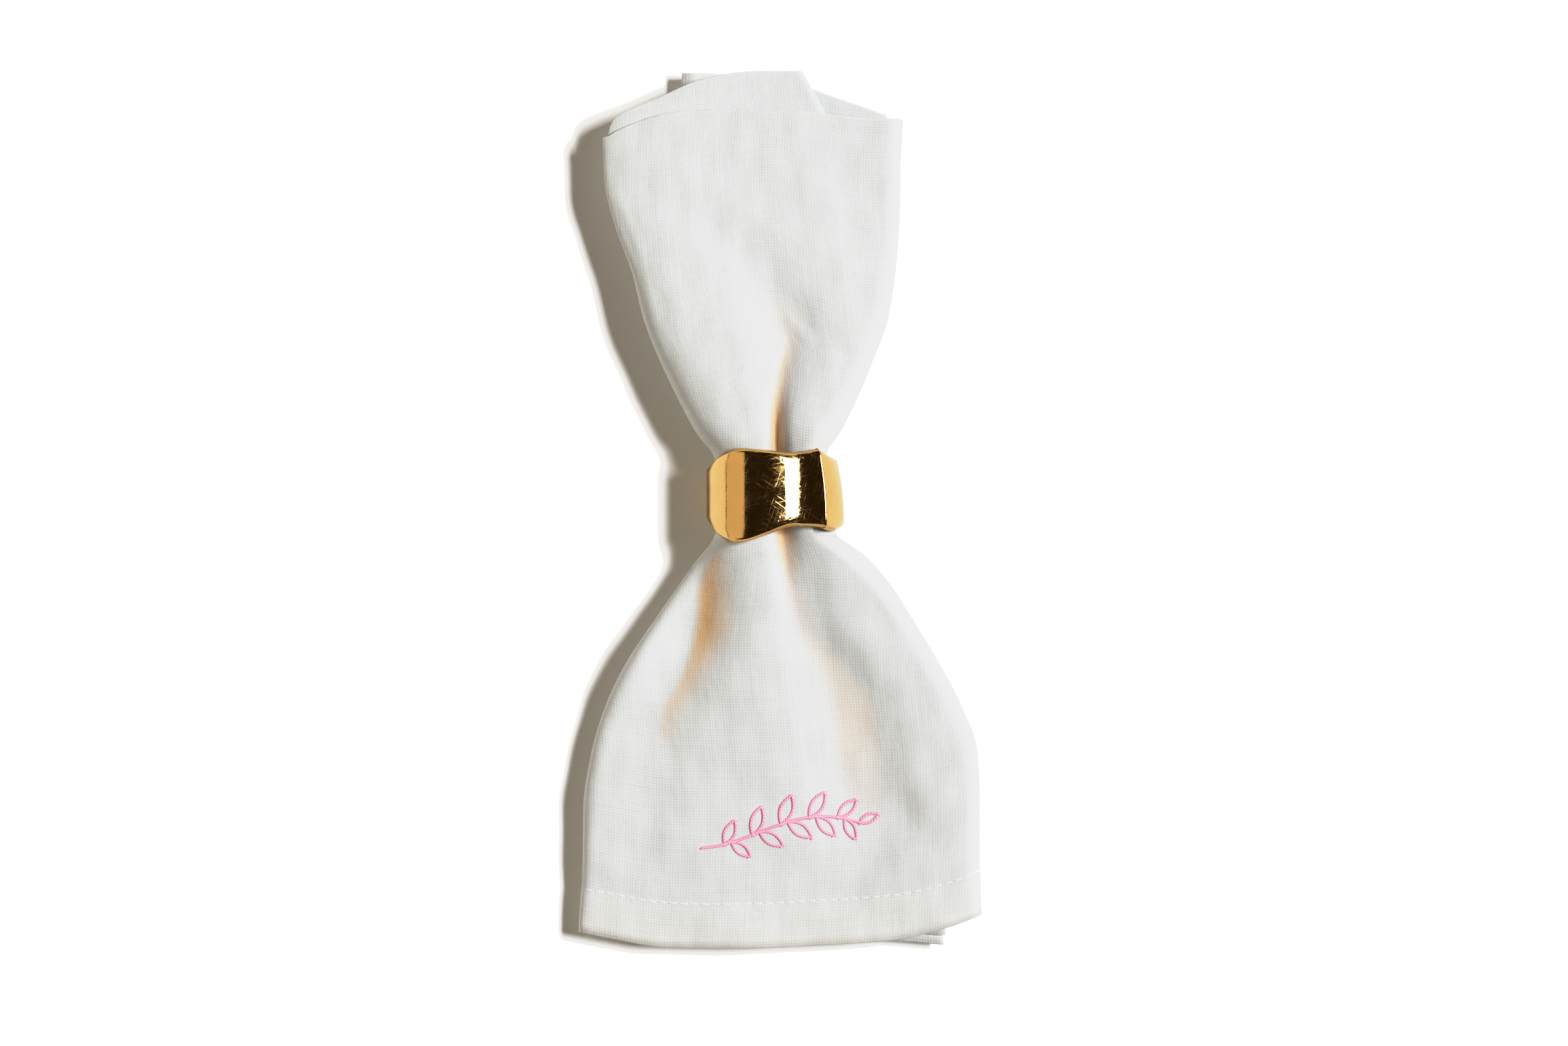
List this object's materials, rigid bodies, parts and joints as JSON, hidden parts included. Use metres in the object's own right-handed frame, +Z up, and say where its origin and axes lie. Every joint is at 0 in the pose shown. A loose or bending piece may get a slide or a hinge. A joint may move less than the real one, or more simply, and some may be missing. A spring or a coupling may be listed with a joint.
{
  "type": "napkin gathered through a napkin ring",
  "caption": "Square linen napkin folded lengthwise, gathered at its middle through a wavy polished metal band and laid flat, with its hem and folded end fanned out.",
  "frame": {"origin": "middle of the lowest extent of the object, on the surface it lies on", "axes": "+Y runs along the napkin from its hem to its folded end, +X across it to the right of someone looking down with the folded end away, +Z up from the surface"},
  "size_m": [0.1286, 0.2798, 0.027],
  "materials": {
    "linen": "plain-weave bleached linen, washed and lightly pressed",
    "gold_metal": "gold-coloured plating, polished to a mirror with fine wear"
  },
  "bodies": {
    "root": {"napkin": "linen", "napkin_ring": "gold_metal"}
  },
  "joints": []
}
